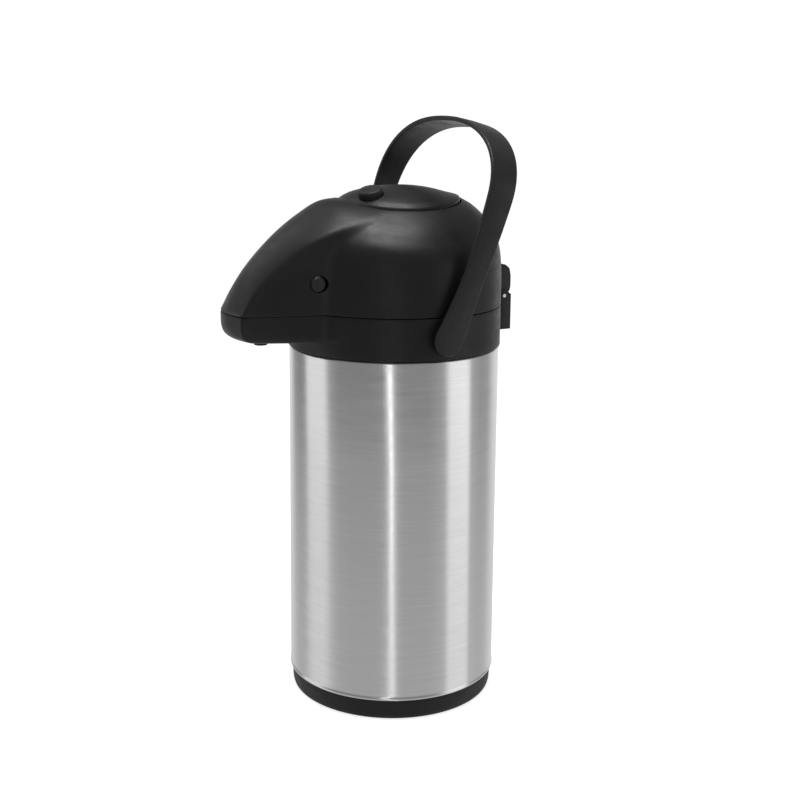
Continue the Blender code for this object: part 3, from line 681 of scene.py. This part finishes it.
tools = [
    ("DIFFERENCE", lathe([(0.0, 0.2700), (0.0808, 0.2700), (0.0808, 0.2905), (0.0790, 0.2922),
                          (0.0428, 0.2925), (0.0, 0.2925)], 128)),
    ("DIFFERENCE", lathe([(0.0, 0.2978), (0.0428, 0.2978), (0.0445, 0.2986), (0.0790, 0.3008),
                          (0.0808, 0.3025), (0.0808, 0.3300), (0.0, 0.3300)], 128)),
    ("DIFFERENCE", disc(0.0428, 0.2900, 0.3000, 96)),
    ("DIFFERENCE", skin([[(x, y, z) for x, y in pocket_outline] for z in (0.2948, 0.3300)])),
    ("DIFFERENCE", disc(0.0068, 0.2800, 0.3000, 48, (0.0, NOZZLE_Y - 0.0003))),
]
for side in (1, -1):
    low = (min(side * 0.0715, side * 0.0812), SWING_Y - 0.0075, 0.2985)
    high = (max(side * 0.0715, side * 0.0812), SWING_Y + 0.0075, 0.3050)
    tools.append(("UNION", block(low, high, 0.0008)))
    tools.append(("DIFFERENCE", axle((side * 0.0745, SWING_Y, SWING_Z), (side, 0, 0),
                                     0.0044, 0.0150)))
    tools.append(("DIFFERENCE", axle((side * SCREW_X, 0.0760, SCREW_Z), (0, 1, 0),
                                     SCREW_HOLE_R, 0.0120, 24)))
piece("look_collar", combined(collar_mesh, tools), "black_moulding", "vessel", ("collar",), 34)

# ---- push button, lock knob and release buttons --------------------------------------------


def button_bend(p):
    """The top follows the lid: down towards the sides, its edge down to the beak."""
    t = unit((p.z - 0.3760) / 0.010)
    edge = max(0.0, (math.hypot(p.x, p.y - BUTTON_Y) - 0.034) / (BUTTON_R - 0.034))
    rise = TILT * (p.y - BUTTON_Y) * edge * edge - SADDLE * p.x * p.x
    return Vector((p.x, p.y, p.z + rise * t))


def on_knob_axis(bm):
    """Carry a piece from the origin to the lock knob's place, +Z along its axis."""
    return carried(bm, KNOB, KNOB_AXIS)


crown = spline([(0.0010, CROWN_Z), (0.0120, 0.4041), (0.0240, 0.4026), (0.0350, 0.4001),
                (0.0430, 0.3974), (0.0468, 0.3955)], 9)
skirt = [(0.0475, 0.3951), (0.0481, 0.3945), (0.0485, 0.3937), (BUTTON_R, 0.3926),
         (BUTTON_R, 0.3850), (BUTTON_R, 0.3700), (0.0466, 0.3700), (0.0466, 0.3895),
         (0.0380, 0.3940), (0.0240, 0.3985), (0.0, 0.4012)]
cap = [(0.0, CROWN_Z)] + [tuple(p) for p in crown] + skirt
piece("look_push_button", combined(lathe(cap, 192, (0.0, BUTTON_Y), button_bend), [
    ("DIFFERENCE", on_knob_axis(disc(0.0097, -0.0025, 0.0150, 64))),
    ("UNION", tube(0.0300, 0.0325, 0.3881, 0.3965, 96, (0.0, BUTTON_Y))),
]), "black_moulding", "button", ("push_button",), 34)


def flute(p):
    """Shallow grip flutes round the knob's side."""
    r = math.hypot(p.x, p.y)
    if r < 0.0078 or p.z < 0.0:
        return p
    k = 1.0 - 0.035 * (0.5 + 0.5 * math.cos(24 * math.atan2(p.y, p.x)))
    return Vector((p.x * k, p.y * k, p.z))


knob = rounded([(0.0, -0.0022), (0.0093, -0.0022), (0.0094, 0.0030), (0.0087, 0.0045),
                (0.0, 0.0052)], 0.0012, 4, True, (0, 4))
piece("look_lock_knob", on_knob_axis(combined(lathe(knob, 192, (0.0, 0.0), flute), [
    ("DIFFERENCE", block((-0.0011, -0.0072, 0.0044), (0.0011, -0.0030, 0.0070), 0.0003)),
])), "handle_black", "lock", ("lock_knob",), 34)

# bellows and spring under the button (on the real pot they shorten as it goes down); each gets a mesh of
# its own
BELLOWS_LOW, BELLOWS_HIGH, STROKE = 0.3325, 0.3848, 0.028
folds = [(0.0335 if k % 2 == 0 else 0.0255, BELLOWS_LOW + (BELLOWS_HIGH - BELLOWS_LOW) * k / 8)
         for k in range(9)]
inner_folds = [(r - 0.0012, z) for r, z in reversed(folds)]
bellows = piece("look_bellows", lathe(rounded(folds + inner_folds, 0.0008, 3), 96,
                                      (0.0, BUTTON_Y)), "rubber", "lid", ("bellows",))
COILS, COIL_STEPS = 5, 36
rows = []
for k in range(COILS * COIL_STEPS + 1):
    a = 2 * math.pi * k / COIL_STEPS
    z = BELLOWS_LOW + 0.0011 + (BELLOWS_HIGH - BELLOWS_LOW - 0.0022) * k / (COILS * COIL_STEPS)
    out = Vector((math.cos(a), math.sin(a), 0.0))
    mid = Vector((0.0, BUTTON_Y, z)) + out * 0.0170
    rows.append([mid + 0.0009 * (math.cos(b) * out + math.sin(b) * Vector((0, 0, 1)))
                 for b in (2 * math.pi * j / 10 for j in range(10))])
coil = piece("look_return_spring", skin(rows), "spring_wire", "lid", ("return_spring",))
for part in (bellows, coil):
    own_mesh(part)

for name, side in (("left", -1), ("right", 1)):
    y, z = RELEASE[1], RELEASE[2]
    face = rounded([(0.0, 0.0), (0.0060, 0.0), (0.0060, 0.0074), (0.0046, 0.0086),
                    (0.0, 0.0092)], 0.0010, 4, True, (0, 4))
    bm = carried(lathe(face, 64), (side * 0.0300, y, z), (side, 0, 0))
    x = side * 0.0290
    nose = x + side * 0.0022
    piece("look_release_" + name, combined(bm, [
        ("UNION", block((x - 0.0012, HOOK_Y[0], 0.3010), (x + 0.0012, HOOK_Y[1], z + 0.0045),
                        0.0003)),
        ("UNION", block((min(x, nose), HOOK_Y[0] + 0.0005, 0.3015),
                        (max(x, nose), HOOK_Y[1] - 0.0005, 0.3035))),
    ]), "handle_black", "release_" + name, ("release_button_" + name,), 34)

# ---- nozzle --------------------------------------------------------------------------------
piece("look_spout_nozzle", lathe(rounded([
    (0.0048, 0.3126), (0.0085, 0.3126), (0.0085, 0.3106), (0.0060, 0.3100), (0.0055, 0.2900),
    (0.0050, 0.2875), (0.0036, 0.2875), (0.0036, 0.3020), (0.0048, 0.3026),
], 0.0004), 64, (0.0, NOZZLE_Y)), "black_moulding", "lid", ("spout_nozzle",))

# ---- rear hinge ------------------------------------------------------------------------------


def arc(cy, cz, radius, first, last, steps):
    turns = [math.radians(first + (last - first) * k / steps) for k in range(steps + 1)]
    return [(cy + radius * math.cos(a), cz + radius * math.sin(a)) for a in turns]


def slab(outline, half, edge):
    soft_rows = [(-half, edge), (-half + edge * 0.3, edge * 0.3), (-half + edge, 0.0),
                 (half - edge, 0.0), (half - edge * 0.3, edge * 0.3), (half, edge)]
    return outline_solid(outline, lambda p, depth: (depth, p[0], p[1]), soft_rows)


bracket_side = (rounded([(HINGE_BACK_Y, 0.3090), (HINGE_BACK_Y, 0.2853), (0.1030, 0.2853),
                         (0.1030, 0.3142)], 0.0008, 3, False)
                + arc(HINGE_Y, HINGE_Z, LOBE_R, 24, 178, 24))
hinge_tools = [
    ("DIFFERENCE", block((-0.0074, 0.0820, 0.3060), (0.0074, 0.1200, 0.3300))),
    ("DIFFERENCE", axle((-0.0200, HINGE_Y, HINGE_Z), (1, 0, 0), PIN_HOLE_R, 0.0400, 32)),
]
for side in (1, -1):
    hinge_tools.append(("DIFFERENCE", axle((side * SCREW_X, 0.0830, SCREW_Z), (0, 1, 0),
                                           SCREW_HOLE_R, 0.0300, 24)))
    hinge_tools.append(("DIFFERENCE", axle((side * SCREW_X, 0.1004, SCREW_Z), (0, 1, 0),
                                           0.0031, 0.0100, 32)))
piece("look_hinge_bracket", combined(slab(bracket_side, 0.0100, 0.0008), hinge_tools),
      "black_moulding", "vessel", ("hinge_bracket",), 34)
leaf_side = (arc(HINGE_Y, HINGE_Z, LOBE_R, 205, 375, 24)
             + rounded([(0.1034, 0.3170), (0.1042, 0.3195), (0.1042, 0.3290), (0.1030, 0.3350),
                        (0.0990, 0.3382), (0.0935, 0.3390), (HINGE_BACK_Y, 0.3390), (HINGE_BACK_Y, 0.3180),
                        (0.0900, 0.3166)], 0.0014, 4, False))
piece("look_hinge_leaf", combined(slab(leaf_side, 0.0070, 0.0007), [
    ("DIFFERENCE", axle((-0.0200, HINGE_Y, HINGE_Z), (1, 0, 0), PIN_HOLE_R, 0.0400, 32)),
]), "black_moulding", "lid", ("hinge_leaf",), 34)

# ---- carry handle ------------------------------------------------------------------------------


def arm_lean(z):
    h = z - 0.35
    return 0.0210 + 0.40 * h - 0.82 * h * h, 0.40 - 1.64 * h


def arm_half(z):
    if z > 0.345:
        return 0.0088 + 0.035 * (z - 0.345)
    return 0.0088 + 0.0027 * ((0.345 - z) / (0.345 - SWING_Z)) ** 1.5


def band_section(half, thick):
    """Rounded cross-section of the band, (across, out) pairs, slightly crowned outside."""
    box = [(half, -thick), (half, thick * 0.82), (0.0, thick), (-half, thick * 0.82),
           (-half, -thick), (0.0, -thick * 0.93)]
    return rounded(box, min(0.0016, half * 0.45), 5, True)


foot = arm_half(SWING_Z)
path = []
for k in range(17):
    a = math.radians(86 - 86 * k / 16)
    path.append((ARM_X, SWING_Z, -foot * math.sin(a), foot * math.cos(a)))
for k in range(1, 25):
    z = SWING_Z + (ARM_BEND_Z - SWING_Z) * k / 24
    path.append((ARM_X, z, 0.0, arm_half(z)))
for k in range(1, 41):
    t = math.radians(90.0 * k / 40)
    x = ARM_X * max(math.cos(t), 0.0) ** (2 / ARM_POWER)
    z = ARM_BEND_Z + (ARM_TOP_Z - ARM_BEND_Z) * math.sin(t) ** (2 / ARM_POWER)
    path.append((x, z, 0.0, arm_half(z)))
path += [(-x, z, s, b) for x, z, s, b in reversed(path[:-1])]
rows = []
for i, (x, z, slide, half) in enumerate(path):
    before, after = path[max(i - 1, 0)], path[min(i + 1, len(path) - 1)]
    tx, tz = after[0] - before[0], (after[1] + after[2]) - (before[1] + before[2])
    size = math.hypot(tx, tz) or 1.0
    nx, nz = -tz / size, tx / size
    y, slope = arm_lean(z)
    norm = math.hypot(1.0, slope)
    mid = Vector((x, y + slide * slope / norm, z + slide / norm))
    wide = Vector((0.0, 1.0 / norm, -slope / norm))
    out = Vector((nx, 0.0, nz))
    if out.dot(Vector((x, 0.0, z - 0.40))) < 0:
        out = -out
    rows.append([mid + wide * across + out * rise
                 for across, rise in band_section(half, ARM_T / 2)])
handle_mesh = skin(rows)
handle_tools = [("UNION", axle((side * 0.0757, SWING_Y, SWING_Z), (side, 0, 0),
                               0.0040, 0.0140, 48, 0.0006)) for side in (1, -1)]
piece("look_carry_handle", combined(handle_mesh, handle_tools), "handle_black", "handle",
      ("carry_handle",), 40)

# ---- stage, light and camera -----------------------------------------------------------------
AZIMUTH = 62.0
scene = bpy.context.scene
scene.view_settings.view_transform = "Standard"
scene.view_settings.look = "None"

bm = bmesh.new()
bmesh.ops.create_circle(bm, cap_ends=True, cap_tris=False, segments=96, radius=7.0)
mesh = bpy.data.meshes.new("floor")
bm.to_mesh(mesh)
bm.free()
floor = bpy.data.objects.new("floor", mesh)
floor.location.z = -0.0004
scene.collection.objects.link(floor)
mat = bpy.data.materials.new("floor")
mat.use_nodes = True
n = Nodes(mat.node_tree)
mat.node_tree.nodes.remove(mat.node_tree.nodes["Principled BSDF"])
matte = n.add("ShaderNodeBsdfDiffuse")
matte.inputs["Color"].default_value = (0.80, 0.80, 0.80, 1.0)
lift = n.add("ShaderNodeEmission")
seen = n.add("ShaderNodeLightPath").outputs["Is Camera Ray"]
n.put(lift.inputs["Strength"], n.math("MULTIPLY", seen, 0.80))
both = n.add("ShaderNodeAddShader")
n.link(matte.outputs[0], both.inputs[0])
n.link(lift.outputs[0], both.inputs[1])
n.link(both.outputs[0], mat.node_tree.nodes["Material Output"].inputs["Surface"])
mesh.materials.append(mat)
floor.visible_glossy = False

world = bpy.data.worlds.new("studio")
scene.world = world
world.use_nodes = True
w = Nodes(world.node_tree)
way = w.add("ShaderNodeSeparateXYZ")
w.link(w.add("ShaderNodeTexCoord").outputs["Generated"], way.inputs[0])
around = w.math("ARCTAN2", way.outputs["Y"], way.outputs["X"])
# 0 behind the object, 0.5 at the camera, 1 behind again; more than 0.5 is the right-hand side
share = w.math("WRAP", w.math("ADD", w.math("MULTIPLY", around, 1 / (2 * math.pi)),
                              (AZIMUTH - 90.0) * -1 / 360.0 + 0.5), 1.0, 0.0)
share = w.math("ADD", share, w.math("MULTIPLY_ADD", way.outputs["Z"], 0.05, 0.010))
ramp = w.add("ShaderNodeValToRGB")
w.link(share, ramp.inputs["Fac"])
# (degrees round from the camera, brightness): two wide softboxes and one narrow strip
PEAK = 5.0
stops = [(-180, 0.90), (-150, 0.80), (-135, 0.36), (-121, 0.28), (-111, 0.38),
         (-105, 1.00), (-78, 1.05), (-72, 0.42), (-60, 0.27), (-20, 0.25), (-3.0, 0.30),
         (-2.6, PEAK), (-0.9, PEAK), (-0.5, 0.42), (12, 0.27), (40, 0.28), (58, 0.42),
         (65, 1.20), (89, 1.30), (95, 0.50), (110, 0.36), (124, 0.40), (142, 0.80),
         (180, 0.90)]
while len(ramp.color_ramp.elements) < len(stops):
    ramp.color_ramp.elements.new(0.5)
for element, (degrees, value) in zip(ramp.color_ramp.elements, stops):
    element.position = degrees / 360.0 + 0.5
for element, (degrees, value) in zip(ramp.color_ramp.elements, stops):
    element.color = (value / PEAK, value / PEAK, value / PEAK, 1.0)
# each step goes part of the way from one brightness to the next: walls, floor, sky, backdrop
level = w.math("MULTIPLY", ramp.outputs["Color"], PEAK)
low = w.remap(way.outputs["Z"], -0.20, -0.36, 0.0, 0.66)
floor_glow = w.math("MULTIPLY_ADD", w.math("SUBTRACT", 0.70, level), low, level)
high = w.remap(way.outputs["Z"], 0.12, 0.40, 0.0, 1.0)
sky = w.math("MULTIPLY_ADD", w.math("SUBTRACT", 0.24, floor_glow), high, floor_glow)
seen = w.add("ShaderNodeLightPath").outputs["Is Camera Ray"]
final = w.math("MULTIPLY_ADD", w.math("SUBTRACT", 1.05, sky), seen, sky)
glow = world.node_tree.nodes["Background"]
glow.inputs["Color"].default_value = (1.0, 1.0, 1.0, 1.0)
w.link(final, glow.inputs["Strength"])


def softbox(name, azimuth, distance, height, size, power, aim=(0.0, 0.0, 0.2)):
    data = bpy.data.lights.new(name, "AREA")
    data.shape = "RECTANGLE"
    data.size, data.size_y = size
    data.energy = power
    obj = bpy.data.objects.new(name, data)
    a = math.radians(azimuth)
    obj.location = (distance * math.sin(a), -distance * math.cos(a), height)
    obj.rotation_mode = "QUATERNION"
    obj.rotation_quaternion = (Vector(aim) - obj.location).to_track_quat("-Z", "Y")
    scene.collection.objects.link(obj)


softbox("top_light", AZIMUTH, 0.15, 1.50, (0.55, 0.55), 12.5, (0, 0, 0.35))
softbox("left_light", AZIMUTH - 115, 1.30, 1.45, (1.2, 1.2), 4.0, (0, -0.05, 0.35))

cam_data = bpy.data.cameras.new("camera")
camera = bpy.data.objects.new("camera", cam_data)
scene.collection.objects.link(camera)
scene.camera = camera
cam_data.sensor_width = 36.0
cam_data.lens = 57.84
cam_data.shift_x = 0.00766
cam_data.shift_y = -0.0725
cam_data.clip_start, cam_data.clip_end = 0.01, 100.0
a, pitch = math.radians(AZIMUTH), math.radians(10.434)
camera.location = (math.sin(a), -math.cos(a), 0.4648)
forward = Vector((-math.sin(a) * math.cos(pitch), math.cos(a) * math.cos(pitch), -math.sin(pitch)))
camera.rotation_mode = "QUATERNION"
camera.rotation_quaternion = (forward.to_track_quat("-Z", "Y").to_matrix()
                              @ Matrix.Rotation(math.radians(0.491), 3, "Z")).to_quaternion()
